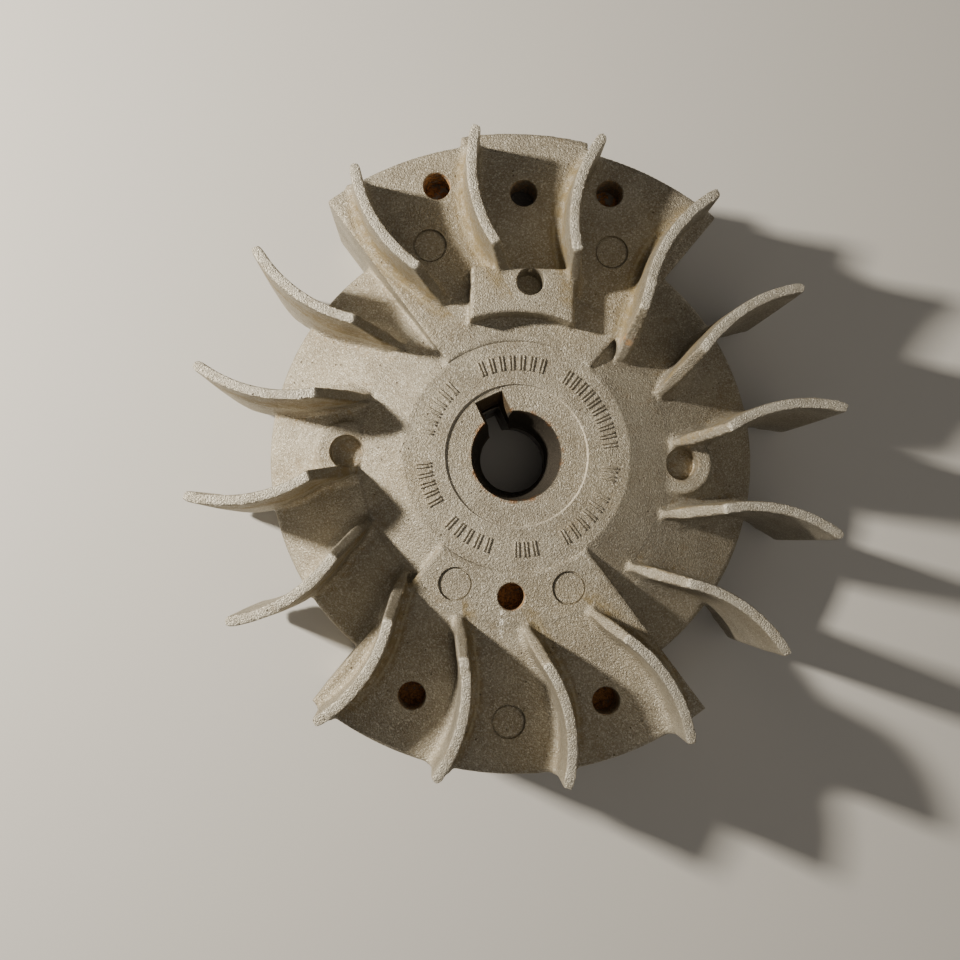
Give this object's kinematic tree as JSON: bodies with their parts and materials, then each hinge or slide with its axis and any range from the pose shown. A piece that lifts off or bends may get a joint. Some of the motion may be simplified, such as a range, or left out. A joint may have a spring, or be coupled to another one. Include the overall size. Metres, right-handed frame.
{
  "type": "fan flywheel",
  "caption": "Cast aluminium engine flywheel with curved fan blades on a conical web, two raised sectors, a keyed bore, an ignition magnet group and a counterweight.",
  "frame": {"origin": "on the bore axis, in the plane of the engine-side faces", "axes": "+Z along the bore axis towards the fan side, +Y towards the middle of the magnet sector"},
  "size_m": [0.1118, 0.1158, 0.0335],
  "materials": {
    "cast_aluminium": "bead-blasted die casting, warm grey, stained at the blade roots",
    "insert_steel": "dark machined steel with a rusty edge",
    "lamination_steel": "stamped electrical steel, ground faces, surface rust",
    "rivet_steel": "plain steel",
    "weight_steel": "rusty steel",
    "magnet_alloy": "dull dark grey magnet"
  },
  "bodies": {
    "root": {"fan_casting": "cast_aluminium", "hub_insert": "insert_steel", "left_pole_lamination_1": "lamination_steel", "left_pole_lamination_2": "lamination_steel", "left_pole_lamination_3": "lamination_steel", "left_pole_lamination_4": "lamination_steel", "left_pole_lamination_5": "lamination_steel", "left_pole_lamination_6": "lamination_steel", "left_pole_lamination_7": "lamination_steel", "right_pole_lamination_1": "lamination_steel", "right_pole_lamination_2": "lamination_steel", "right_pole_lamination_3": "lamination_steel", "right_pole_lamination_4": "lamination_steel", "right_pole_lamination_5": "lamination_steel", "right_pole_lamination_6": "lamination_steel", "right_pole_lamination_7": "lamination_steel", "left_pole_rivet_inner": "rivet_steel", "left_pole_rivet_outer": "rivet_steel", "right_pole_rivet_inner": "rivet_steel", "right_pole_rivet_outer": "rivet_steel", "ignition_magnet": "magnet_alloy", "counterweight": "weight_steel"}
  },
  "joints": []
}
